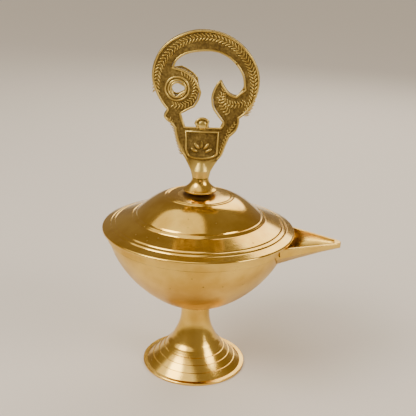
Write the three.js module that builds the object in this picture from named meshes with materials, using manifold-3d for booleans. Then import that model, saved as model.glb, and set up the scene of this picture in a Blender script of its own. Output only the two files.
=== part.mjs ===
// Covered brass oil lamp with a spout, a lift-off domed lid and a flat cast ring finial.
// Millimetres, +Z up. The spout points along +X. The origin is the centre of the lamp's box, at the level it stands on;
// the pieces are drawn round the axis of foot, bowl and lid, and the whole is moved there at the end.
import * as THREE from 'three';
import { mergeVertices } from 'three/addons/utils/BufferGeometryUtils.js';
import Module from 'manifold-3d';

const wasm = await Module();
wasm.setup();

// Clearances
const SEAT_GAP = 0.3;         // between pieces that are brazed, screwed or laid together
const LID_PLAY = 0.5;         // between the locating ring and the inside of the bowl's band
const SCREW_PLAY = 0.3;       // round a screw in its hole

// Foot
const FOOT_R = 25.6;          // base radius
const FOOT_LIP = 1.2;         // height of the base lip
const FOOT_H = 32.6;          // height to the joint with the bowl
const STEM_R = 7.1;           // radius of the narrow stem
const FOOT_WALL = 1.8;
const FOOT_WEB = 3;           // thickness of the closed top that the screw pulls on
const FOOT_STEPS = 4;         // turned steps between the lip and the plain flare
const STEP_RISE = 2.6;        // height of one turned step
const STEP_IN = 0.45;         // depth of the ledge at each step

// Bowl
const BAND_R = 43.6;          // outside radius of the upright rim band
const BAND_H = 4.7;           // height of the band
const RIM_Z = 72.4;           // top of the band
const BAND_STEP = 1.1;        // how far the band stands proud of the bowl
const BOWL_WALL = 1.6;
const BOWL_ROUND = 1.33;      // power of the belly's curve: 1 is a quarter ellipse, 2 a straight cone

// Spout
const SPOUT_TIP_X = 67.9;     // tip, from the axis
const SPOUT_HALF_W = 15.6;    // half width where it meets the band
const SPOUT_DEPTH = 10.5;     // depth at the root
const SPOUT_TIP_DEPTH = 2.8;
const SPOUT_TIP_HALF_W = 1.9;
const SPOUT_WALL = 1.4;
const WICK_HALF_W = 9;        // half width of the notch in the band for the wick
const WICK_DEPTH = 6.2;       // depth of that notch

// Lid
const LID_R = 46;             // radius of the brim
const BRIM_DROP = 0.9;        // how far the brim's edge reaches below its seat on the band
const BRIM_IN_R = 31;         // where the brim turns up into the dome
const BRIM_RISE = 5.8;
const DOME_IN_R = 15.5;       // where the dome turns into the crown
const DOME_RISE = 9.8;
const CROWN_RISE = 1;
const LID_WALL = 1.2;
const GROOVES = [42, 39.9, 31.6, 29.9, 16.2, 14.8]; // radii of the turned grooves
const GROOVE_W = 0.8;
const GROOVE_DEPTH = 0.3;
const RING_DROP = 4;          // how far the locating ring reaches below the rim
const RING_WALL = 1.2;

// Collar, screws and pin
const COLLAR_R = 7.9;         // bell lip
const COLLAR_H = 7.3;
const COLLAR_FOOT_R = 5;      // radius of the boss that the collar stands on
const NECK_R = 3.8;
const LID_SCREW_R = 1.6;
const LID_SCREW_UP = 6;       // how far the screw reaches into the finial
const WASHER_R = 6;
const WASHER_H = 1;
const LID_NUT_R = 4;
const LID_NUT_H = 3;
const PIN_R = 0.6;
const PIN_BELOW_TOP = 0.9;    // pin's axis below the collar's top
const FOOT_SCREW_R = 2;
const FOOT_HEAD_R = 4.2;
const FOOT_HEAD_H = 2;
const FOOT_NUT_R = 4;
const FOOT_NUT_H = 3;
const NUT_PROUD = 1;          // how far a screw passes its nut

// Finial
const FINIAL_H = 67.7;        // height above the collar
const PLATE_T = 4.4;          // thickness of the casting
const FINIAL_TURN = 9.5;      // degrees between the plate and the spout's direction
const POCKET_DEPTH = 1.1;     // sunk field of the shield, on both faces

const SEGMENTS = 48;
const SMALL_SEGMENTS = 20;

const BRASS = { color: 0xc9993f, roughness: 0.22, metalness: 1 };
const DULL_BRASS = { color: 0xb98d3c, roughness: 0.42, metalness: 1 };

// Merges shared corners, drops empty triangles and turns the faces outwards
function closed(geometry) {
  const plain = geometry.index ? geometry.toNonIndexed() : geometry.clone();
  plain.deleteAttribute('normal');
  plain.deleteAttribute('uv');
  const merged = mergeVertices(plain, 1e-4);
  const p = merged.getAttribute('position');
  const triangles = [];
  let volume = 0;
  const [a, b, c] = [new THREE.Vector3(), new THREE.Vector3(), new THREE.Vector3()];
  for (let i = 0; i < merged.index.count; i += 3) {
    const [i0, i1, i2] = [0, 1, 2].map((k) => merged.index.getX(i + k));
    if (i0 === i1 || i1 === i2 || i2 === i0) continue;
    volume += a.fromBufferAttribute(p, i0).dot(b.fromBufferAttribute(p, i1).cross(c.fromBufferAttribute(p, i2)));
    triangles.push([i0, i1, i2]);
  }
  const order = volume < 0 ? triangles.map(([i, j, k]) => [i, k, j]) : triangles;
  const result = new THREE.BufferGeometry();
  result.setAttribute('position', p);
  result.setIndex(order.flat());
  return result;
}

function solid(geometry) {
  const mesh = closed(geometry);
  return new wasm.Manifold(new wasm.Mesh({
    numProp: 3,
    vertProperties: new Float32Array(mesh.getAttribute('position').array),
    triVerts: new Uint32Array(mesh.index.array),
  }));
}

function geometryOf(manifold) {
  const mesh = manifold.getMesh();
  const geometry = new THREE.BufferGeometry();
  geometry.setAttribute('position', new THREE.BufferAttribute(mesh.vertProperties, 3));
  geometry.setIndex(new THREE.BufferAttribute(mesh.triVerts, 1));
  return geometry;
}

// Turns a closed [radius, height] outline round the Z axis
function revolve(profile, segments = SEGMENTS) {
  const points = profile.map(([r, z]) => new THREE.Vector2(r, z));
  points.push(points[0].clone());
  return new THREE.LatheGeometry(points, segments).rotateX(Math.PI / 2);
}

function rod(radius, z0, z1, segments = SMALL_SEGMENTS) {
  const height = z1 - z0;
  return new THREE.CylinderGeometry(radius, radius, height, segments)
    .rotateX(Math.PI / 2)
    .translate(0, 0, z0 + height / 2);
}

// Points of a curve through knots, as [radius, height]
function smooth(knots, steps) {
  const curve = new THREE.CatmullRomCurve3(knots.map(([r, z]) => new THREE.Vector3(r, z, 0)), false, 'centripetal');
  return curve.getPoints(steps).map((p) => [p.x, p.y]);
}

// Levels that follow from the sizes above
const bowlBottom = FOOT_H + SEAT_GAP;
const bandFoot = RIM_Z - BAND_H;
const bowlR = BAND_R - BAND_STEP;
const bandInnerR = BAND_R - BAND_STEP - BOWL_WALL;
const lidSeat = RIM_Z + SEAT_GAP;
const brimZ = (r) => lidSeat + LID_WALL + (BAND_R - r) * BRIM_RISE / (LID_R - BRIM_IN_R);
const lidEdgeZ = brimZ(LID_R);
const domeFootZ = brimZ(BRIM_IN_R);
const domeTopZ = domeFootZ + DOME_RISE;
const lidTop = domeTopZ + CROWN_RISE;
const collarFoot = lidTop + SEAT_GAP;
const collarTop = collarFoot + COLLAR_H;
const finialFoot = collarTop + SEAT_GAP;
const pinZ = collarTop - PIN_BELOW_TOP;
const bowlFloor = bowlBottom + BOWL_WALL;
const footNutTop = FOOT_H - FOOT_WEB - SEAT_GAP;
const washerTop = lidTop - LID_WALL - SEAT_GAP;
const lidNutTop = washerTop - WASHER_H - SEAT_GAP;

// Hollow spun foot: lip, turned steps, flare and stem
function foot() {
  const outer = [[FOOT_R, 0], [FOOT_R, FOOT_LIP]];
  const flare = (z) => STEM_R + (FOOT_R - STEM_R) * Math.pow(Math.max(0, 1 - z / (FOOT_H * 0.86)), 2.1);
  for (let step = 0; step < FOOT_STEPS; step += 1) {
    const z = FOOT_LIP + step * STEP_RISE;
    outer.push([flare(z) - STEP_IN, z]);
    outer.push([flare(z + STEP_RISE), z + STEP_RISE]);
  }
  const flareFoot = FOOT_LIP + FOOT_STEPS * STEP_RISE;
  for (const share of [0.15, 0.35, 0.6, 0.8, 1]) {
    const z = flareFoot + (FOOT_H - flareFoot) * share;
    outer.push([flare(z) - (share < 0.3 ? STEP_IN : 0), z]);
  }
  const holeR = FOOT_SCREW_R + SCREW_PLAY;
  const inner = [[holeR, FOOT_H], [holeR, FOOT_H - FOOT_WEB]];
  for (const share of [0, 0.25, 0.5, 0.75, 1]) {
    const z = (FOOT_H - FOOT_WEB) * (1 - share);
    inner.push([flare(z) - FOOT_WALL - STEP_IN, z]);
  }
  return revolve([...outer, ...inner]);
}

// Outside of the bowl below the band, from the bottom up
function bowlCurve(offset = 0, steps = 9) {
  const points = [];
  for (let i = 0; i <= steps; i += 1) {
    const t = i / steps;
    const angle = t * Math.PI / 2;
    const r = STEM_R + (bowlR - STEM_R) * Math.pow(Math.sin(angle), BOWL_ROUND);
    const z = bowlBottom + (bandFoot - bowlBottom) * (1 - Math.pow(Math.max(0, Math.cos(angle)), BOWL_ROUND));
    points.push([r - offset * Math.sin(angle), z + offset * Math.cos(angle)]);
  }
  return points;
}

// Bowl with its band, a floor hole for the foot screw and the notch for the wick
function bowl() {
  const holeR = FOOT_SCREW_R + SCREW_PLAY;
  const outside = [[holeR, bowlBottom], ...bowlCurve(), [BAND_R, bandFoot], [BAND_R, RIM_Z]];
  const inside = [[bandInnerR, RIM_Z], ...bowlCurve(BOWL_WALL).reverse(), [holeR, bowlFloor]];
  const shell = solid(revolve([...outside, ...inside]));
  return geometryOf(shell.subtract(solid(trough(WICK_HALF_W, WICK_DEPTH, bandInnerR - 8, 1))));
}

// Wedge with a rounded keel that narrows from the axis side to the tip, open upwards when it is cut away
function trough(halfWidth, depth, fromX, above, wall = 0) {
  const rows = [];
  const tipX = SPOUT_TIP_X - wall * 2.2;
  for (const share of [0, 0.4, 0.75, 0.94, 1]) {
    const x = fromX + (tipX - fromX) * share;
    const along = (SPOUT_TIP_X - x) / (SPOUT_TIP_X - BAND_R);
    const tipRound = share === 1 && wall === 0 ? 0.45 : 1;
    const w = (SPOUT_TIP_HALF_W + (halfWidth - SPOUT_TIP_HALF_W) * along) * tipRound - wall;
    const d = SPOUT_TIP_DEPTH + (depth - SPOUT_TIP_DEPTH) * Math.pow(along, 1.15) - wall;
    const top = lidEdgeZ - LID_WALL - SEAT_GAP;
    const ring = [[x, w, top + above]];
    for (let i = 0; i <= 8; i += 1) {
      const angle = i * Math.PI / 8;
      ring.push([x, w * Math.cos(angle), top - d * Math.pow(Math.sin(angle), 0.85)]);
    }
    ring.push([x, -w, top + above]);
    rows.push(above > 0 ? ring : ring.slice(1, -1));
  }
  return loft(rows);
}

// Joins closed rings of equal count and closes both ends
function loft(rows) {
  const count = rows[0].length;
  const points = rows.flat();
  const index = [];
  for (let row = 0; row + 1 < rows.length; row += 1) {
    for (let i = 0; i < count; i += 1) {
      const a = row * count + i;
      const b = row * count + (i + 1) % count;
      index.push(a, b, a + count, b, b + count, a + count);
    }
  }
  const last = (rows.length - 1) * count;
  for (let i = 1; i + 1 < count; i += 1) {
    index.push(0, i + 1, i, last, last + i, last + i + 1);
  }
  const geometry = new THREE.BufferGeometry();
  geometry.setAttribute('position', new THREE.Float32BufferAttribute(points.flat(), 3));
  geometry.setIndex(index);
  return geometry;
}

// Open beak for the wick, brazed to the outside of the bowl
function spout() {
  const fromX = bandInnerR - 6;
  const shell = solid(trough(SPOUT_HALF_W, SPOUT_DEPTH, fromX, 0))
    .subtract(solid(trough(SPOUT_HALF_W, SPOUT_DEPTH, fromX - 1, 2, SPOUT_WALL)));
  const outside = [[1, bowlBottom - 1], ...bowlCurve(-SEAT_GAP), [BAND_R + SEAT_GAP, bandFoot - SEAT_GAP],
    [BAND_R + SEAT_GAP, RIM_Z + 1], [1, RIM_Z + 1]];
  const core = solid(revolve(outside)).add(solid(rod(3, bowlBottom, RIM_Z + 1)));
  return geometryOf(shell.subtract(core));
}

// Outside of the lid from the brim's edge to the crown, with its turned grooves
function lidCurve() {
  const heightAt = (r) => {
    if (r >= BRIM_IN_R) return brimZ(r);
    if (r >= DOME_IN_R) {
      const t = (BRIM_IN_R - r) / (BRIM_IN_R - DOME_IN_R);
      return domeFootZ + DOME_RISE * Math.sin(t * Math.PI / 2 * 0.86) / Math.sin(Math.PI / 2 * 0.86);
    }
    return domeTopZ + CROWN_RISE * (1 - Math.pow(r / DOME_IN_R, 2));
  };
  const radii = [LID_R, 35.5, BRIM_IN_R, 27, 23, 19, DOME_IN_R, 11, 7];
  const plain = radii.map((r) => [r, heightAt(r)]);
  const cuts = GROOVES.flatMap((r) => [
    [r + GROOVE_W / 2, heightAt(r + GROOVE_W / 2)],
    [r, heightAt(r) - GROOVE_DEPTH],
    [r - GROOVE_W / 2, heightAt(r - GROOVE_W / 2)],
  ]);
  const clear = plain.filter(([r]) => !GROOVES.some((g) => Math.abs(g - r) < GROOVE_W));
  const all = [...clear, ...cuts, ...plain.filter(([r]) => r === LID_R)];
  const seen = new Map(all.map((p) => [p[0].toFixed(3), p]));
  return { outer: [...seen.values()].sort((p, q) => q[0] - p[0]), heightAt, radii };
}

function lid() {
  const holeR = LID_SCREW_R + SCREW_PLAY;
  const { outer, heightAt, radii } = lidCurve();
  const under = radii.map((r) => [r - (r < LID_R ? 0.3 : 0), heightAt(r) - LID_WALL]);
  return revolve([...outer, [holeR, lidTop], [holeR, lidTop - LID_WALL], ...under.reverse()]);
}

// Ring under the brim that keeps the lid centred in the band
function lidRing() {
  const outerR = bandInnerR - LID_PLAY;
  const innerR = outerR - RING_WALL;
  const topAt = (r) => brimZ(r) - LID_WALL - SEAT_GAP;
  return revolve([[outerR, RIM_Z - RING_DROP], [outerR, topAt(outerR)], [innerR, topAt(innerR)],
    [innerR, RIM_Z - RING_DROP]]);
}

// Bell collar with its cross hole for the pin
function collar() {
  const holeR = LID_SCREW_R + SCREW_PLAY;
  const bell = smooth([[COLLAR_R, collarFoot + 1.9], [COLLAR_R - 1.5, collarFoot + 2.9],
    [NECK_R + 0.7, collarFoot + 5], [NECK_R, collarTop]], 7);
  const body = solid(revolve([[COLLAR_FOOT_R, collarFoot], [COLLAR_FOOT_R, collarFoot + 1],
    [COLLAR_R, collarFoot + 1.2], ...bell, [holeR, collarTop], [holeR, collarFoot]], 36));
  return geometryOf(body.subtract(crossHole()));
}

function crossHole() {
  return solid(rod(PIN_R + SCREW_PLAY, -NECK_R - 2, NECK_R + 2).rotateX(Math.PI / 2).translate(0, 0, pinZ));
}

function pin() {
  const half = NECK_R - SEAT_GAP;
  return rod(PIN_R, -half, half, 12).rotateX(Math.PI / 2).translate(0, 0, pinZ);
}

function lidScrew() {
  const bottom = lidNutTop - LID_NUT_H - NUT_PROUD;
  const screw = solid(rod(LID_SCREW_R, bottom, finialFoot + LID_SCREW_UP));
  return geometryOf(screw.subtract(crossHole()));
}

// Flat ring with a hole, or a hex nut when it has six sides
function collarRing(radius, holeR, z0, z1, sides) {
  return geometryOf(solid(rod(radius, z0, z1, sides)).subtract(solid(rod(holeR, z0 - 1, z1 + 1))));
}

function footScrew() {
  const headFoot = bowlFloor + SEAT_GAP;
  const bottom = footNutTop - FOOT_NUT_H - NUT_PROUD;
  const head = solid(rod(FOOT_HEAD_R, headFoot, headFoot + FOOT_HEAD_H));
  return geometryOf(head.add(solid(rod(FOOT_SCREW_R, bottom, headFoot + 1))));
}

// A place on the casting seen from the front. The outlines are drawn as [x, height] with a top at 67.7.
const drawn = FINIAL_H / 67.7;
const onPlate = ([x, z]) => new THREE.Vector2(x * drawn, z * drawn);

// Outline of the casting: first the stem, then up the left side
function finialShape() {
  const shape = new THREE.Shape();
  const spline = (knots) => shape.splineThru(knots.map(onPlate));
  const stemEdge = onPlate([4.6, 3.5]);
  shape.moveTo(-NECK_R, 0);
  shape.lineTo(-stemEdge.x, stemEdge.y);
  spline([[-6.6, 7.6], [-8.2, 10.2], [-9.9, 12.9], [-11.8, 18.4], [-12.8, 23.2]]);
  spline([[-14.6, 25.4], [-16.4, 26.6], [-17.8, 28.9], [-16.3, 31.6]]);
  spline([[-18.6, 34.2], [-21.4, 39.2], [-23.4, 45.6], [-22.7, 52.6], [-19.3, 59.2], [-13.6, 64], [-6.3, 67],
    [0.4, 67.7], [7.5, 66.6], [14.3, 63.4], [20.2, 58], [24, 51.6], [25.1, 45.2], [23.7, 37.9], [19.6, 32.7],
    [16.6, 29.6]]);
  spline([[16.8, 26.6], [15.6, 22.9], [12.7, 19.8]]);
  spline([[11, 15.4], [9.6, 11.2], [6.9, 7.6], [4.6, 3.5]]);
  shape.lineTo(NECK_R, 0);
  shape.closePath();
  shape.holes.push(ringOpening(), eye());
  return shape;
}

// Open middle of the ring: shield's rim, hooked scroll, arch and the rounded lobe that holds the eye
function ringOpening() {
  const hole = new THREE.Path([onPlate([-8.6, 23.4]), onPlate([8.8, 23.4])]);
  const spline = (knots) => hole.splineThru(knots.map(onPlate));
  spline([[10.2, 26.4], [7.8, 29.9], [5.1, 33.9], [4.6, 38.5], [6.1, 42.9], [8, 45.7]]);
  spline([[9.3, 43.2], [11.9, 40.1], [15.6, 39.1], [18.6, 41.5], [18.9, 45.4], [17, 50.7], [12.5, 55.8],
    [6.5, 58.9], [0, 59.4], [-8.1, 58], [-12.9, 54.8], [-14.6, 51]]);
  spline([[-9.7, 50.1], [-4.6, 46.9], [-2, 42.5], [-2.9, 36.8], [-6.4, 32.1], [-10.7, 29.6]]);
  hole.closePath();
  return hole;
}

// Pierced eye of the scroll
function eye() {
  const centre = onPlate([-12, 41.4]);
  const circle = new THREE.EllipseCurve(centre.x, centre.y, 3.4 * drawn, 3.4 * drawn);
  return new THREE.Path(circle.getPoints(20));
}

// Field of the shield, which is sunk below its rim
function shieldField() {
  const shape = new THREE.Shape([onPlate([-7.8, 21.6]), onPlate([-7.8, 14])]);
  shape.splineThru([[-6.6, 10.6], [-4.2, 9.3], [0, 8.7], [4.2, 9.3], [6.6, 10.6], [7.8, 14]].map(onPlate));
  shape.lineTo(7.8 * drawn, 21.6 * drawn);
  shape.closePath();
  return shape;
}

// Extrudes a front outline to a plate whose middle plane is y = middle
function plate(shape, thickness, middle, curveSegments = 3) {
  return new THREE.ExtrudeGeometry(shape, { depth: thickness, bevelEnabled: false, curveSegments })
    .rotateX(Math.PI / 2)
    .translate(0, middle + thickness / 2, finialFoot);
}

function finial() {
  let body = solid(plate(finialShape(), PLATE_T, 0));
  const stem = [[0, 0], [NECK_R, 0], [4.4 * drawn, 3.5 * drawn], [2.8 * drawn, 7 * drawn], [0, 10 * drawn]];
  const round = stem.map(([r, z]) => [r, z + finialFoot]);
  body = body.add(solid(revolve(round, 36)));
  const boss = rod(2.9 * drawn, -PLATE_T / 2, PLATE_T / 2).rotateX(Math.PI / 2);
  body = body.add(solid(boss.translate(0, 0, finialFoot + 24.9 * drawn)));
  for (const side of [-1, 1]) {
    body = body.subtract(solid(plate(shieldField(), POCKET_DEPTH, side * (PLATE_T - POCKET_DEPTH + 0.02) / 2)));
  }
  const socket = rod(LID_SCREW_R + SCREW_PLAY, finialFoot - 1, finialFoot + LID_SCREW_UP + SEAT_GAP);
  return geometryOf(body.subtract(solid(socket)));
}

function piece(name, geometry, finish) {
  const mesh = new THREE.Mesh(closed(geometry), new THREE.MeshStandardMaterial(finish));
  mesh.name = name;
  return mesh;
}

const lamp = new THREE.Group();
lamp.add(
  piece('foot', foot(), BRASS),
  piece('foot_screw', footScrew(), DULL_BRASS),
  piece('foot_nut', collarRing(FOOT_NUT_R, FOOT_SCREW_R + SCREW_PLAY, footNutTop - FOOT_NUT_H, footNutTop, 6),
    DULL_BRASS),
  piece('bowl', bowl(), DULL_BRASS),
  piece('spout', spout(), BRASS),
);

const cover = new THREE.Group();
cover.add(
  piece('lid', lid(), BRASS),
  piece('lid_ring', lidRing(), DULL_BRASS),
  piece('lid_washer', collarRing(WASHER_R, LID_SCREW_R + SCREW_PLAY, washerTop - WASHER_H, washerTop, 24),
    DULL_BRASS),
  piece('lid_nut', collarRing(LID_NUT_R, LID_SCREW_R + SCREW_PLAY, lidNutTop - LID_NUT_H, lidNutTop, 6),
    DULL_BRASS),
);

const handle = new THREE.Group();
handle.rotation.z = THREE.MathUtils.degToRad(FINIAL_TURN);
handle.add(
  piece('lid_collar', collar(), BRASS),
  piece('collar_pin', pin(), DULL_BRASS),
  piece('lid_screw', lidScrew(), DULL_BRASS),
  piece('finial', finial(), BRASS),
);
cover.add(handle);
lamp.add(cover);
lamp.position.x = -(SPOUT_TIP_X - LID_R) / 2;

export default lamp;
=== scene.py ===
# A covered brass oil lamp: spun foot, shallow bowl with a beak spout, lift-off domed lid
# and a flat cast ring finial.
import math

import bmesh
import bpy
from mathutils import Matrix, Vector


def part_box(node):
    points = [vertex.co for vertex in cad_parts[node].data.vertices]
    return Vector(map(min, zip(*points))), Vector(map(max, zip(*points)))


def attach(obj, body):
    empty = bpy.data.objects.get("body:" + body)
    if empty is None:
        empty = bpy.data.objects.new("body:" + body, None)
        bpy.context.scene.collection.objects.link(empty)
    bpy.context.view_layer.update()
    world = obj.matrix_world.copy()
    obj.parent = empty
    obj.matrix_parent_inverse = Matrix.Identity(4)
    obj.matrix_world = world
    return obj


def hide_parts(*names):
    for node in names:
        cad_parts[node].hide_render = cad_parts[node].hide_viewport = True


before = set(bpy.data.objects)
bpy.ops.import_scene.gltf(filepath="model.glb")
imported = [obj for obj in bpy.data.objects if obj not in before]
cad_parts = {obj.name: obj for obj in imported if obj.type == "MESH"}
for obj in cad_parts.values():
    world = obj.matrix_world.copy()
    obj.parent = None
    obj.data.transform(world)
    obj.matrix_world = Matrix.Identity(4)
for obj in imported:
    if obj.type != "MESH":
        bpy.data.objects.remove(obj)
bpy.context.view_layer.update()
scene = bpy.context.scene

# Camera. A short telephoto stands a little above the lid and to the right of the front. It leans
# slightly, so that the lamp leans to the right in the picture. Its place counts from the lamp's axis,
# which runs through foot, bowl and lid, and the origin lies off it towards the spout.
VIEW_TURN = math.radians(9.5)
CAMERA_AWAY = 0.3302
CAMERA_HEIGHT = 0.1955
CAMERA_YAW = 0.0127
CAMERA_PITCH = 0.3309
CAMERA_ROLL = 0.0420
LENS_PX = 731
PICTURE_PX = 416
SENSOR_MM = 36
CLIP_START = 0.01

foot_low, foot_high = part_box("foot")
axis = Vector(((foot_low.x + foot_high.x) / 2, (foot_low.y + foot_high.y) / 2, 0))
turn = Matrix.Rotation(VIEW_TURN, 3, "Z")
forward = turn @ Vector((math.sin(CAMERA_YAW) * math.cos(CAMERA_PITCH),
                         math.cos(CAMERA_YAW) * math.cos(CAMERA_PITCH), -math.sin(CAMERA_PITCH)))
level = turn @ Vector((math.cos(CAMERA_YAW), -math.sin(CAMERA_YAW), 0))
upright = level.cross(forward)
camera_x = math.cos(CAMERA_ROLL) * level + math.sin(CAMERA_ROLL) * upright
camera_y = -math.sin(CAMERA_ROLL) * level + math.cos(CAMERA_ROLL) * upright
camera_data = bpy.data.cameras.new("camera")
camera_data.lens = LENS_PX / PICTURE_PX * SENSOR_MM
camera_data.sensor_width = SENSOR_MM
camera_data.clip_start = CLIP_START
camera = bpy.data.objects.new("camera", camera_data)
axes = Matrix((camera_x, camera_y, -forward)).transposed().to_4x4()
stand = axis + turn @ Vector((0, -CAMERA_AWAY, CAMERA_HEIGHT))
camera.matrix_world = Matrix.Translation(stand) @ axes
scene.collection.objects.link(camera)
scene.camera = camera


# Studio. A pale matt floor, a soft warm surround, a broad light that reaches the whole floor, and large
# soft lamps that give the polished metal highlights on the dome, on the belly and along the rim.
class Signal:
    """One socket of a node tree, on which sums can be written"""

    def __init__(self, tree, socket=None):
        self.tree = tree
        self.socket = socket

    def node(self, kind, settings=None, inputs=None, out=0):
        made = self.tree.nodes.new(kind)
        for key, value in (settings or {}).items():
            setattr(made, key, value)
        for key, value in (inputs or {}).items():
            if isinstance(value, Signal):
                self.tree.links.new(value.socket, made.inputs[key])
            else:
                made.inputs[key].default_value = value
        return Signal(self.tree, made.outputs[out])

    def math(self, operation, *values):
        return self.node("ShaderNodeMath", {"operation": operation}, dict(enumerate(values)))

    def __add__(self, other):
        return self.math("ADD", self, other)

    def __sub__(self, other):
        return self.math("SUBTRACT", self, other)

    def __rsub__(self, other):
        return self.math("SUBTRACT", other, self)

    def __mul__(self, other):
        return self.math("MULTIPLY", self, other)

    __radd__ = __add__
    __rmul__ = __mul__

    def step(self, low, high):
        """0 below low, 1 above high, smooth between them"""
        return self.node("ShaderNodeMapRange", {"interpolation_type": "SMOOTHSTEP"},
                         {"Value": self, "From Min": low, "From Max": high})

    def blend(self, first, second):
        """First colour where this is 0, second where it is 1"""
        return self.node("ShaderNodeMix", {"data_type": "RGBA"}, {0: self, 6: first, 7: second}, out=2)


def shader(name):
    material = bpy.data.materials.new(name)
    material.use_nodes = True
    surface = material.node_tree.nodes["Principled BSDF"]
    return material, surface, Signal(material.node_tree)


FLOOR_COLOR = (0.80, 0.75, 0.68, 1)
FLOOR_SIZE = 14
FLOOR_ROUGHNESS = 0.75
LAMP_AIM = Vector((0, 0, 0.08))
LAMPS = [
    ("key", (-0.55, -0.45, 0.75), 0.5, 5.5, (1.0, 0.95, 0.86)),
    ("right", (0.75, -0.25, 0.5), 0.4, 3.2, (1.0, 0.93, 0.84)),
    ("back", (0.1, 0.7, 0.6), 0.6, 3.2, (1.0, 0.9, 0.78)),
]
WASH_POWER = 1.3
WASH_SPREAD = math.radians(70)
WASH_COLOR = (1.0, 0.95, 0.88)
WASH_FROM = Vector((-0.5, -0.3, 1))
SURROUND = (0.56, 0.44, 0.30, 1)
SURROUND_STRENGTH = 0.55
floor_mesh = bpy.data.meshes.new("floor")
half = FLOOR_SIZE / 2
floor_corners = [(-half, -half, 0), (half, -half, 0), (half, half, 0), (-half, half, 0)]
floor_mesh.from_pydata(floor_corners, [], [(0, 1, 2, 3)])
floor = bpy.data.objects.new("floor", floor_mesh)
scene.collection.objects.link(floor)
floor_material, floor_surface, _ = shader("pale_floor")
floor_surface.inputs["Base Color"].default_value = FLOOR_COLOR
floor_surface.inputs["Roughness"].default_value = FLOOR_ROUGHNESS
floor_mesh.materials.append(floor_material)

for lamp_name, place, size, power, color in LAMPS:
    lamp_data = bpy.data.lights.new(lamp_name, "AREA")
    lamp_data.shape = "DISK"
    lamp_data.size = size
    lamp_data.energy = power
    lamp_data.color = color
    lamp = bpy.data.objects.new(lamp_name, lamp_data)
    lamp.location = place
    lamp.rotation_euler = (LAMP_AIM - Vector(place)).to_track_quat("-Z", "Y").to_euler()
    scene.collection.objects.link(lamp)

wash_data = bpy.data.lights.new("wash", "SUN")
wash_data.energy = WASH_POWER
wash_data.angle = WASH_SPREAD
wash_data.color = WASH_COLOR
wash = bpy.data.objects.new("wash", wash_data)
wash.rotation_euler = (-WASH_FROM).to_track_quat("-Z", "Y").to_euler()
scene.collection.objects.link(wash)

world = bpy.data.worlds.new("surround")
world.use_nodes = True
world.node_tree.nodes["Background"].inputs["Color"].default_value = SURROUND
world.node_tree.nodes["Background"].inputs["Strength"].default_value = SURROUND_STRENGTH
scene.world = world


# Brass. Yellow brass, polished on a lathe with a mop: fine rings from the turning tool, cloudy
# handling marks in the gloss, a few dark pits, and brown tarnish where the polish doesn't reach. In the
# bands at the joints the same brown is painted shade as well as tarnish.
BRIGHT = (0.88, 0.59, 0.13, 1)
DEEP = (0.66, 0.38, 0.055, 1)
TARNISH_AND_SHADE = (0.10, 0.055, 0.02, 1)
TURNING_SCALE = 2600.0
CLOUD_SCALE = 70.0
GRAIN_SCALE = 900.0
PIT_SCALE = 260.0
RELIEF = 0.00008
RELIEF_STRENGTH = 0.35
TARNISH_DULLS = 0.45


def brass(name, gloss, cloud, rings, pits, bright=BRIGHT, deep=DEEP, shade_and_tarnish_bands=(), dark_inside=None):
    """Brass of a roughness that varies by cloud, with turning rings and pits.

    Each pair of heights given for bands marks patchy tarnish and painted shade between them, and
    dark_inside gives a plate's normal and the depths between which its sunk field turns dark.
    """
    material, surface, graph = shader(name)
    place = graph.node("ShaderNodeTexCoord", out=3)
    centred = graph.node("ShaderNodeMapping", {"vector_type": "TEXTURE"},
                         {"Vector": place, "Location": axis})
    split = graph.node("ShaderNodeSeparateXYZ", inputs={0: centred})
    x, y, z = (Signal(graph.tree, split.socket.node.outputs[i]) for i in range(3))
    radius = graph.math("SQRT", x * x + y * y)
    profile = graph.node("ShaderNodeCombineXYZ", inputs={0: radius, 1: z, 2: 0.0})
    turning, clouds, grain = (
        graph.node("ShaderNodeTexNoise", inputs={"Vector": where, "Scale": scale, "Detail": detail})
        for where, scale, detail in ((profile, TURNING_SCALE, 2.0), (place, CLOUD_SCALE, 5.0),
                                     (place, GRAIN_SCALE, 3.0)))
    cells = graph.node("ShaderNodeTexVoronoi", inputs={"Vector": place, "Scale": PIT_SCALE})
    pit = (1 - cells.step(0.05, 0.11)) * clouds.step(0.56 - pits, 0.66 - pits)
    tarnish_and_shade = pit
    # Painted shade with tarnish: a patchy dark ring between each pair of heights, which also dulls the
    # gloss.
    for low, high in shade_and_tarnish_bands:
        middle, spread = (low + high) / 2, (high - low) / 2
        band = 1 - graph.math("ABSOLUTE", z - middle).step(spread * 0.4, spread)
        tarnish_and_shade = graph.math("MAXIMUM", tarnish_and_shade, band * clouds.step(0.3, 0.6))
    if dark_inside is not None:
        normal_x, normal_y, low, high = dark_inside
        depth = graph.math("ABSOLUTE", x * normal_x + y * normal_y)
        tarnish_and_shade = graph.math("MAXIMUM", tarnish_and_shade, (1 - depth.step(low, high)) * (0.35 + 0.75 * grain))
    tone = clouds.step(0.3, 0.75).blend(bright, deep)
    color = tarnish_and_shade.blend(tone, TARNISH_AND_SHADE)
    graph.tree.links.new(color.socket, surface.inputs["Base Color"])
    rough = gloss + cloud * clouds + TARNISH_DULLS * tarnish_and_shade + 0.06 * turning
    graph.tree.links.new(rough.socket, surface.inputs["Roughness"])
    height = turning * rings + grain * 0.25 - pit * 2.0
    bump = graph.node("ShaderNodeBump",
                      inputs={"Strength": RELIEF_STRENGTH, "Distance": RELIEF, "Height": height})
    graph.tree.links.new(bump.socket, surface.inputs["Normal"])
    surface.inputs["Metallic"].default_value = 1.0
    return material


def keep(mesh, name, material, body, slot, *nodes):
    """Adds a finished mesh as a piece of the lamp in place of its plain nodes"""
    piece = bpy.data.objects.new(name, mesh)
    scene.collection.objects.link(piece)
    mesh.materials.clear()
    mesh.materials.append(material)
    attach(piece, body)
    if nodes:
        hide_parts(*nodes)
    return piece


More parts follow.
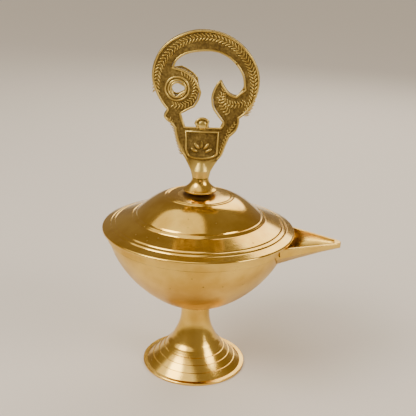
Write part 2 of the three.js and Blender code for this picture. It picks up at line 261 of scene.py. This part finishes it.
# Foot. Spun from sheet and turned: a flat lip that it stands on, four turned steps, and a flare that
# narrows to the stem. It is hollow from below, and a screw draws its closed top against the bowl.
TURNS = 160
FOOT_R = foot_high.y
FOOT_H = foot_high.z
STEM_R = 0.0071
LIP = 0.0012
STEPS = 4
STEP_RISE = 0.0026
STEP_IN = 0.00045
FOOT_WALL = 0.0018
FOOT_WEB = 0.003
FOOT_HOLE = 0.0023
FLARE_TOP = 0.86
FLARE_POWER = 2.1
FOOT_EDGE = 0.0002
PLAIN_ROWS = 21
INSIDE_ROWS = 12


def spun(profile, turns=TURNS, sharp=math.radians(28)):
    """Turns a closed outline of (radius, height) points round the axis"""
    mesh = bpy.data.meshes.new("spun")
    shape = bmesh.new()
    rows = []
    for i in range(turns):
        angle = 2 * math.pi * i / turns
        c, s = math.cos(angle), math.sin(angle)
        rows.append([shape.verts.new((axis.x + r * c, r * s, z)) for r, z in profile])
    count = len(profile)
    for i in range(turns):
        row, after = rows[i], rows[(i + 1) % turns]
        for j in range(count):
            k = (j + 1) % count
            shape.faces.new((row[j], after[j], after[k], row[k]))
    bmesh.ops.recalc_face_normals(shape, faces=shape.faces)
    shape.to_mesh(mesh)
    shape.free()
    mesh.shade_smooth()
    mesh.set_sharp_from_angle(angle=sharp)
    return mesh


def flare(z):
    """Outside radius of the foot at a height"""
    return STEM_R + (FOOT_R - STEM_R) * max(0, 1 - z / (FOOT_H * FLARE_TOP)) ** FLARE_POWER


foot_outline = [(FOOT_R - FOOT_EDGE, 0), (FOOT_R, FOOT_EDGE), (FOOT_R, LIP - FOOT_EDGE),
                (FOOT_R - FOOT_EDGE, LIP)]
for step in range(STEPS):
    ledge = LIP + step * STEP_RISE
    for share in (0, 0.3, 0.6, 0.9, 1):
        height = ledge + share * STEP_RISE
        foot_outline.append((flare(height) - STEP_IN * (1 - share), height))
plain_foot = LIP + STEPS * STEP_RISE
stem_edge = 0.0003
for i in range(1, PLAIN_ROWS + 1):
    height = plain_foot + (FOOT_H - stem_edge - plain_foot) * i / PLAIN_ROWS
    foot_outline.append((flare(height) - STEP_IN * max(0, 1 - i / 5), height))
foot_outline += [(STEM_R - stem_edge, FOOT_H), (FOOT_HOLE, FOOT_H), (FOOT_HOLE, FOOT_H - FOOT_WEB)]
for i in range(INSIDE_ROWS + 1):
    height = (FOOT_H - FOOT_WEB) * (1 - i / INSIDE_ROWS)
    foot_outline.append((flare(height) - FOOT_WALL - STEP_IN, height))
# The top of the foot, where it meets the bowl, gets a band of painted shade and tarnish.
foot_brass = brass("bright_turned_brass", 0.10, 0.12, 1.0, 0.0,
                   shade_and_tarnish_bands=[(FOOT_H - 0.0016, FOOT_H + 0.0016)])
keep(spun(foot_outline), "foot_spun", foot_brass, "base", "polished_brass", "foot")


# Bowl. Cast, then turned to a satin: a round belly, an upright band that stands proud of it at the
# rim, and a notch through the band for the wick.
bowl_low, bowl_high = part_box("bowl")
RIM_Z = bowl_high.z
BOWL_FOOT = bowl_low.z
BAND_R = bowl_high.y
BAND_H = 0.0047
BAND_STEP = 0.0011
BOWL_WALL = 0.0016
BOWL_ROUND = 1.33
BOWL_STEPS = 40
WICK_HALF_W = 0.009
WICK_DEPTH = 0.0062
NOTCH_TOP = RIM_Z - 0.0011
NOTCH_INSIDE = 0.008
NOTCH_OUTSIDE = 0.004
BEVEL = 0.00025


def belly(inset):
    """Outline of the bowl below its band, moved in by a wall"""
    points = []
    for i in range(BOWL_STEPS + 1):
        angle = i / BOWL_STEPS * math.pi / 2
        reach = BAND_R - BAND_STEP - STEM_R
        r = STEM_R + reach * math.sin(angle) ** BOWL_ROUND
        z = BOWL_FOOT + (RIM_Z - BAND_H - BOWL_FOOT) * (1 - max(0, math.cos(angle)) ** BOWL_ROUND)
        points.append((r - inset * math.sin(angle), z + inset * math.cos(angle)))
    return points


band_foot = RIM_Z - BAND_H
inner_r = BAND_R - BAND_STEP - BOWL_WALL
bowl_outline = [(FOOT_HOLE, BOWL_FOOT)] + belly(0)
bowl_outline += [(BAND_R - BEVEL, band_foot), (BAND_R, band_foot + BEVEL), (BAND_R, RIM_Z - BEVEL),
                 (BAND_R - BEVEL, RIM_Z), (inner_r + BEVEL, RIM_Z), (inner_r, RIM_Z - BEVEL)]
bowl_outline += belly(BOWL_WALL)[::-1] + [(FOOT_HOLE, BOWL_FOOT + BOWL_WALL)]
bowl_mesh = spun(bowl_outline)


def round_keel(x0, x1, half_width, depth, top, above=0.004, steps=16):
    """A straight channel with a rounded floor, used as a cutter"""
    shape = bmesh.new()
    ends = []
    for x in (x0, x1):
        places = [(half_width, top + above)]
        for i in range(steps + 1):
            angle = math.pi * i / steps
            places.append((half_width * math.cos(angle), top - depth * math.sin(angle)))
        places.append((-half_width, top + above))
        ends.append([shape.verts.new((x, y, z)) for y, z in places])
    count = len(ends[0])
    for i in range(count):
        k = (i + 1) % count
        shape.faces.new((ends[0][i], ends[0][k], ends[1][k], ends[1][i]))
    shape.faces.new(ends[0][::-1])
    shape.faces.new(ends[1])
    bmesh.ops.recalc_face_normals(shape, faces=shape.faces)
    mesh = bpy.data.meshes.new("keel")
    shape.to_mesh(mesh)
    shape.free()
    return mesh


def cut(mesh, cutter_mesh):
    """Takes one closed mesh out of another"""
    body = bpy.data.objects.new("body", mesh)
    cutter = bpy.data.objects.new("cutter", cutter_mesh)
    for item in (body, cutter):
        scene.collection.objects.link(item)
    change = body.modifiers.new("cut", "BOOLEAN")
    change.operation = "DIFFERENCE"
    change.object = cutter
    change.solver = "EXACT"
    seen = body.evaluated_get(bpy.context.evaluated_depsgraph_get())
    result = bpy.data.meshes.new_from_object(seen)
    for item in (body, cutter):
        bpy.data.objects.remove(item)
    return result


notch = round_keel(axis.x + inner_r - NOTCH_INSIDE, axis.x + BAND_R + NOTCH_OUTSIDE,
                   WICK_HALF_W, WICK_DEPTH, NOTCH_TOP)
bowl_mesh = cut(bowl_mesh, notch)
bowl_mesh.shade_smooth()
bowl_mesh.set_sharp_from_angle(angle=math.radians(30))
# The bowl's bottom, where it sits on the foot, and the foot of the band, under its ledge, get bands of
# painted shade and tarnish.
bowl_brass = brass("satin_turned_brass", 0.20, 0.16, 1.6, 0.02,
                   shade_and_tarnish_bands=[(BOWL_FOOT - 0.001, BOWL_FOOT + 0.0012),
                                (band_foot - 0.0004, band_foot + 0.0003)])
keep(bowl_mesh, "bowl_turned", bowl_brass, "base", "turned_brass", "bowl")


# Spout. A folded beak of sheet brass, open on top so that the wick can lie in it, brazed against the
# bowl. Its edges, and those of the small fittings, are broken with a file.
SHARP_ANGLE = math.radians(32)
FLAT_ANGLE = math.radians(0.5)
SPOUT_FILED = 0.0002


def merged_copy(node):
    """A copy of a node's mesh with its corners joined"""
    shape = bmesh.new()
    shape.from_mesh(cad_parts[node].data)
    bmesh.ops.remove_doubles(shape, verts=shape.verts, dist=1e-6)
    bmesh.ops.dissolve_limit(shape, angle_limit=FLAT_ANGLE, verts=shape.verts, edges=shape.edges)
    mesh = bpy.data.meshes.new(node + "_copy")
    shape.to_mesh(mesh)
    shape.free()
    mesh.shade_smooth()
    mesh.set_sharp_from_angle(angle=SHARP_ANGLE)
    return mesh


def broken_edges(piece, width, segments=2):
    bevel = piece.modifiers.new("edges", "BEVEL")
    bevel.width = width
    bevel.segments = segments
    bevel.limit_method = "ANGLE"
    bevel.angle_limit = SHARP_ANGLE


spout_brass = brass("sheet_brass", 0.16, 0.2, 0.0, 0.03)
spout = keep(merged_copy("spout"), "spout_folded", spout_brass, "base", "polished_brass", "spout")
broken_edges(spout, SPOUT_FILED)


# Fittings. Screws, nuts, washer, pin and the ring that centres the lid, turned from brass bar and tube
# and left as they come off the lathe. They hold the foot to the bowl and the finial to the lid.
FITTING_FILED = 0.0001
fitting_brass = brass("bar_brass", 0.28, 0.15, 0.6, 0.02)
for node, body in [("foot_screw", "base"), ("foot_nut", "base"), ("lid_washer", "cover"),
                   ("lid_nut", "cover"), ("collar_pin", "cover"), ("lid_screw", "cover"),
                   ("lid_ring", "cover")]:
    fitting = keep(merged_copy(node), node + "_turned", fitting_brass, body, "turned_brass", node)
    broken_edges(fitting, FITTING_FILED, 1)


# Lid. Spun from sheet: a sloping brim, a dome and a flat crown. A pointed tool cuts three pairs of
# grooves in it, and the whole is polished to a mirror.
lid_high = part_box("lid")[1]
LID_R = lid_high.y
LID_TOP = lid_high.z
BRIM_IN_R = 0.031
BRIM_SLOPE = 5.8 / 15
DOME_IN_R = 0.0155
DOME_RISE = 0.0098
CROWN_RISE = 0.001
LID_WALL = 0.0012
LID_HOLE = 0.0019
GROOVES = (0.042, 0.0399, 0.0316, 0.0299, 0.0162, 0.0148)
GROOVE_HALF = 0.0004
GROOVE_DEPTH = 0.0003
DOME_TURN = math.pi / 2 * 0.86
LID_CORNER = 0.0002
LID_ROWS = 110
LID_TURNS = 192


def lid_height(r):
    """Height of the lid's outside at a distance from the axis"""
    dome_foot = LID_TOP - CROWN_RISE - DOME_RISE
    if r >= BRIM_IN_R:
        return dome_foot - (r - BRIM_IN_R) * BRIM_SLOPE
    if r >= DOME_IN_R:
        share = (BRIM_IN_R - r) / (BRIM_IN_R - DOME_IN_R)
        return dome_foot + DOME_RISE * math.sin(share * DOME_TURN) / math.sin(DOME_TURN)
    return dome_foot + DOME_RISE + CROWN_RISE * (1 - (r / DOME_IN_R) ** 2)


def groove_depth(r):
    nearest = min(abs(r - groove) for groove in GROOVES)
    return GROOVE_DEPTH * max(0, 1 - nearest / GROOVE_HALF)


brim_r = LID_R - LID_CORNER
radii = [brim_r - (brim_r - LID_HOLE) * i / LID_ROWS for i in range(LID_ROWS + 1)]
radii += [groove + side * GROOVE_HALF for groove in GROOVES for side in (-1, -0.4, 0, 0.4, 1)]
radii = sorted(set(radii), reverse=True)
lid_outline = [(LID_R, lid_height(LID_R) - LID_WALL * 0.7), (LID_R, lid_height(LID_R) - LID_WALL * 0.2)]
lid_outline += [(r, lid_height(r) - groove_depth(r)) for r in radii]
lid_outline += [(r, lid_height(r) - LID_WALL) for r in radii[::-1]]
# The crown round the foot of the collar gets a band of painted shade and tarnish.
lid_brass = brass("mirror_brass", 0.05, 0.10, 0.5, 0.05,
                  shade_and_tarnish_bands=[(LID_TOP - 0.0006, LID_TOP + 0.001)])
lid_mesh = spun(lid_outline, LID_TURNS, math.radians(50))
keep(lid_mesh, "lid_spun", lid_brass, "cover", "polished_brass", "lid")


# Collar. A small bell turned from bar, which stands on the crown of the lid and carries the finial.
# A pin goes through its neck.
COLLAR_FILED = 0.00025
collar_brass = brass("collar_brass", 0.12, 0.14, 0.8, 0.02)
collar = keep(merged_copy("lid_collar"), "collar_turned", collar_brass, "cover", "polished_brass",
              "lid_collar")
broken_edges(collar, COLLAR_FILED)


# Finial. A flat sand casting, a few millimetres thick: its edges stand up as a bright rubbed rim round
# a darker field, rings run round the pierced eye, and a domed boss stands on the shield. Its foot is
# turned round to sit on the collar.
FINIAL_TURN = math.radians(9.5)
FINIAL_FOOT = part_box("finial")[0][2]
PLATE_HALF = 0.0022
FIELD_HALF = 0.0016
RIM_TUBE = 0.0005
RIM_INSET = 0.00055
ROUND_FOOT = 0.0085
EYE_X = -0.012
EYE_UP = 0.0414
EYE_R = 0.0034
EYE_RINGS = (EYE_R + 0.0005, EYE_R + 0.0019)
EYE_WIRE = 0.00042
EYE_STEPS = 40
BOSS_UP = 0.0249
BOSS_R = 0.0029
GILT = (0.80, 0.60, 0.18, 1)
OLD_GILT = (0.50, 0.34, 0.08, 1)
across = Vector((math.cos(FINIAL_TURN), math.sin(FINIAL_TURN), 0))
normal = Vector((-math.sin(FINIAL_TURN), math.cos(FINIAL_TURN), 0))


def on_plate(x, up, out):
    """A place on the casting: across it, above its foot and out of its middle plane"""
    return axis + across * x + Vector((0, 0, FINIAL_FOOT + up)) + normal * out


def out_of_plate(place):
    """How far a place lies in front of the casting's middle plane"""
    return (place - axis).dot(normal)


def rim_loops(shape, side):
    """The edges of one face of the plate as chains of places, moved in from the edge"""
    inward = {}
    links = {}
    for edge in shape.edges:
        faces = [face for face in edge.link_faces if face.normal.dot(normal * side) > 0.9]
        on_face = abs(out_of_plate(edge.verts[0].co) * side - PLATE_HALF) < 1e-4
        if len(faces) != 1 or not on_face:
            continue
        if min(v.co.z for v in edge.verts) < FINIAL_FOOT + ROUND_FOOT:
            continue
        a, b = edge.verts
        along = (b.co - a.co).normalized()
        into = along.cross(normal)
        if into.dot(faces[0].calc_center_median() - a.co) < 0:
            into = -into
        for one, other in ((a, b), (b, a)):
            inward[one] = inward.get(one, Vector()) + into
            links.setdefault(one, []).append(other)
    chains = []
    todo = set(links)
    while todo:
        start = next((v for v in sorted(todo, key=lambda v: v.index) if len(links[v]) == 1), None)
        start = start or min(todo, key=lambda v: v.index)
        chain = [start]
        todo.discard(start)
        while True:
            following = [v for v in links[chain[-1]] if v in todo]
            if not following:
                break
            chain.append(following[0])
            todo.discard(following[0])
        cyclic = start in links[chain[-1]] and len(chain) > 2
        lift = normal * side * (FIELD_HALF + 0.0001 - PLATE_HALF)
        chains.append(([v.co + inward[v].normalized() * RIM_INSET + lift for v in chain], cyclic))
    return chains


def tube_mesh(chains, radius):
    """Round wire along chains of places"""
    data = bpy.data.curves.new("rim", "CURVE")
    data.dimensions = "3D"
    data.bevel_depth = radius
    data.bevel_resolution = 3
    for places, cyclic in chains:
        line = data.splines.new("POLY")
        line.points.add(len(places) - 1)
        for point, place in zip(line.points, places):
            point.co = (*place, 1)
        line.use_cyclic_u = cyclic
    wire = bpy.data.objects.new("rim", data)
    scene.collection.objects.link(wire)
    seen = wire.evaluated_get(bpy.context.evaluated_depsgraph_get())
    mesh = bpy.data.meshes.new_from_object(seen)
    bpy.data.objects.remove(wire)
    mesh.shade_smooth()
    return mesh


plate = bmesh.new()
plate.from_mesh(merged_copy("finial"))
chains = rim_loops(plate, 1) + rim_loops(plate, -1)
for vert in plate.verts:
    out = out_of_plate(vert.co)
    if vert.co.z > FINIAL_FOOT + ROUND_FOOT and abs(out) > FIELD_HALF:
        vert.co += normal * (math.copysign(FIELD_HALF, out) - out)
plate_mesh = bpy.data.meshes.new("plate")
plate.to_mesh(plate_mesh)
plate.free()
plate_mesh.shade_smooth()
plate_mesh.set_sharp_from_angle(angle=SHARP_ANGLE)
field_brass = brass("cast_brass_field", 0.30, 0.2, 0.0, 0.1, bright=GILT, deep=OLD_GILT,
                    dark_inside=(normal.x, normal.y, FIELD_HALF, PLATE_HALF))
rim_brass = brass("rubbed_cast_brass", 0.18, 0.2, 0.0, 0.06, bright=GILT, deep=OLD_GILT)
keep(plate_mesh, "finial_field", field_brass, "cover", "cast_brass", "finial")
keep(tube_mesh(chains, RIM_TUBE), "finial_rim", rim_brass, "cover", "cast_brass")
eye_chains = []
for side in (-1, 1):
    for ring_r in EYE_RINGS:
        angles = [2 * math.pi * i / EYE_STEPS for i in range(EYE_STEPS)]
        places = [on_plate(EYE_X + ring_r * math.cos(angle), EYE_UP + ring_r * math.sin(angle),
                           side * FIELD_HALF) for angle in angles]
        eye_chains.append((places, True))
keep(tube_mesh(eye_chains, EYE_WIRE), "eye_rings", rim_brass, "cover", "cast_brass")
boss = bmesh.new()
boss_size = Matrix.Diagonal((BOSS_R, PLATE_HALF, BOSS_R)).to_4x4()
boss_turn = Matrix.Rotation(FINIAL_TURN, 4, "Z")
boss_place = Matrix.Translation(on_plate(0, BOSS_UP, 0)) @ boss_turn @ boss_size
bmesh.ops.create_uvsphere(boss, u_segments=36, v_segments=18, radius=1, matrix=boss_place)
boss_mesh = bpy.data.meshes.new("boss")
boss.to_mesh(boss_mesh)
boss.free()
boss_mesh.shade_smooth()
keep(boss_mesh, "finial_boss", rim_brass, "cover", "cast_brass")


# Leaf strokes. Small raised ridges cast with the finial: two slanting rows round the ring and the
# scroll, short rows on the hook and the wings, and a bud of five petals on the shield.
def leaf_tree():
    """Tree that places slanting ridges on both sides of a path, and the keys of its inputs"""
    tree = bpy.data.node_groups.new("leaf_rows", "GeometryNodeTree")
    tree.interface.new_socket("Path", in_out="INPUT", socket_type="NodeSocketGeometry")
    keys = {}
    kinds = {"Spacing": "Float", "Length": "Float", "Thickness": "Float", "Tilt": "Float",
             "Offset": "Float", "Plate Normal": "Vector", "Finish": "Material"}
    for label, kind in kinds.items():
        socket = tree.interface.new_socket(label, in_out="INPUT", socket_type="NodeSocket" + kind)
        keys[label] = socket.identifier
    tree.interface.new_socket("Leaves", in_out="OUTPUT", socket_type="NodeSocketGeometry")
    graph = Signal(tree)
    given = tree.nodes.new("NodeGroupInput")
    value = {socket.name: Signal(tree, socket) for socket in given.outputs}
    curve = graph.node("GeometryNodeMeshToCurve", inputs={"Mesh": value["Path"]})
    even = graph.node("GeometryNodeResampleCurve", {"mode": "LENGTH"},
                      {"Curve": curve, "Length": value["Spacing"]})
    along = graph.node("GeometryNodeInputTangent")
    aside = graph.node("ShaderNodeVectorMath", {"operation": "CROSS_PRODUCT"},
                       {0: along, 1: value["Plate Normal"]})
    ridge = graph.node("GeometryNodeMeshIcoSphere", inputs={"Radius": 1.0, "Subdivisions": 2})
    scale = graph.node("ShaderNodeCombineXYZ",
                       inputs={0: value["Length"], 1: value["Thickness"], 2: value["Thickness"]})
    join = tree.nodes.new("GeometryNodeJoinGeometry")
    for side in (-1, 1):
        shift = graph.node("ShaderNodeVectorMath", {"operation": "SCALE"},
                           {0: aside, 3: value["Offset"] * side})
        moved = graph.node("GeometryNodeSetPosition", inputs={"Geometry": even, "Offset": shift})
        slant = graph.node("ShaderNodeVectorRotate", {"rotation_type": "AXIS_ANGLE"},
                           {"Vector": along, "Axis": value["Plate Normal"], "Angle": value["Tilt"] * side})
        facing = graph.node("FunctionNodeAlignRotationToVector", {"axis": "X"}, {"Vector": slant})
        row = graph.node("GeometryNodeInstanceOnPoints",
                         inputs={"Points": moved, "Instance": ridge, "Rotation": facing, "Scale": scale})
        tree.links.new(row.socket, join.inputs[0])
    real = graph.node("GeometryNodeRealizeInstances", inputs={0: Signal(tree, join.outputs[0])})
    done = graph.node("GeometryNodeSetMaterial", inputs={"Geometry": real, "Material": value["Finish"]})
    result = tree.nodes.new("NodeGroupOutput")
    tree.links.new(done.socket, result.inputs[0])
    return tree, keys


leaf_rows, leaf_keys = leaf_tree()


def arc(centre, radius, start, end, steps=48):
    """Points of an arc between two angles in degrees, seen from the front"""
    turns = [math.radians(start + (end - start) * i / steps) for i in range(steps + 1)]
    return [(centre[0] + radius * math.cos(t), centre[1] + radius * math.sin(t)) for t in turns]


def leaves(name, paths, height, **sizes):
    """Raised leaves along front outlines, on both faces of the casting"""
    mesh = bpy.data.meshes.new(name)
    verts, edges = [], []
    for side in (-1, 1):
        for path in paths:
            start = len(verts)
            verts += [on_plate(x, up, side * height) for x, up in path]
            edges += [(start + i, start + i + 1) for i in range(len(path) - 1)]
    mesh.from_pydata(verts, edges, [])
    guide = bpy.data.objects.new(name, mesh)
    scene.collection.objects.link(guide)
    change = guide.modifiers.new("leaves", "NODES")
    change.node_group = leaf_rows
    for label, value in sizes.items():
        change[leaf_keys[label.capitalize()]] = value
    change[leaf_keys["Plate Normal"]] = normal
    change[leaf_keys["Finish"]] = rim_brass
    guide.update_tag()
    bpy.context.view_layer.update()
    seen = guide.evaluated_get(bpy.context.evaluated_depsgraph_get())
    result = bpy.data.meshes.new_from_object(seen)
    guide.modifiers.clear()
    bpy.data.objects.remove(guide)
    result.shade_smooth()
    keep(result, name, rim_brass, "cover", "cast_brass")


POCKET_FLOOR = 0.0012
ring_path = arc((0.0006, 0.0425), 0.0221, 186, -32)
scroll_path = arc((-0.0112, 0.0412), 0.0077, 250, 440)
hook_path = arc((0.0144, 0.0435), 0.0085, 215, 300)
blade_path = arc((0.0158, 0.0375), 0.0076, 150, 235)
left_wing = [(-0.0150, 0.0275), (-0.0125, 0.0225), (-0.0110, 0.0165), (-0.0093, 0.0115)]
right_wing = [(0.0148, 0.0262), (0.0122, 0.0225), (0.0103, 0.0165), (0.0090, 0.0120)]
bud_path = arc((0, 0.0125), 0.0034, 170, 10)
leaves("ring_leaves", [ring_path], FIELD_HALF, spacing=0.0016, length=0.0013, thickness=0.0003,
       tilt=math.radians(42), offset=0.0009)
leaves("scroll_leaves", [scroll_path], FIELD_HALF, spacing=0.0014, length=0.0011, thickness=0.00028,
       tilt=math.radians(55), offset=0.0007)
leaves("hook_leaves", [hook_path, blade_path], FIELD_HALF, spacing=0.0014, length=0.0010,
       thickness=0.00028, tilt=math.radians(60), offset=0.0008)
leaves("wing_leaves", [left_wing, right_wing], FIELD_HALF, spacing=0.0015, length=0.0009,
       thickness=0.00025, tilt=math.radians(35), offset=0.0004)
leaves("shield_petals", [bud_path], POCKET_FLOOR, spacing=0.0023, length=0.0019, thickness=0.0007,
       tilt=math.radians(90), offset=0.0)
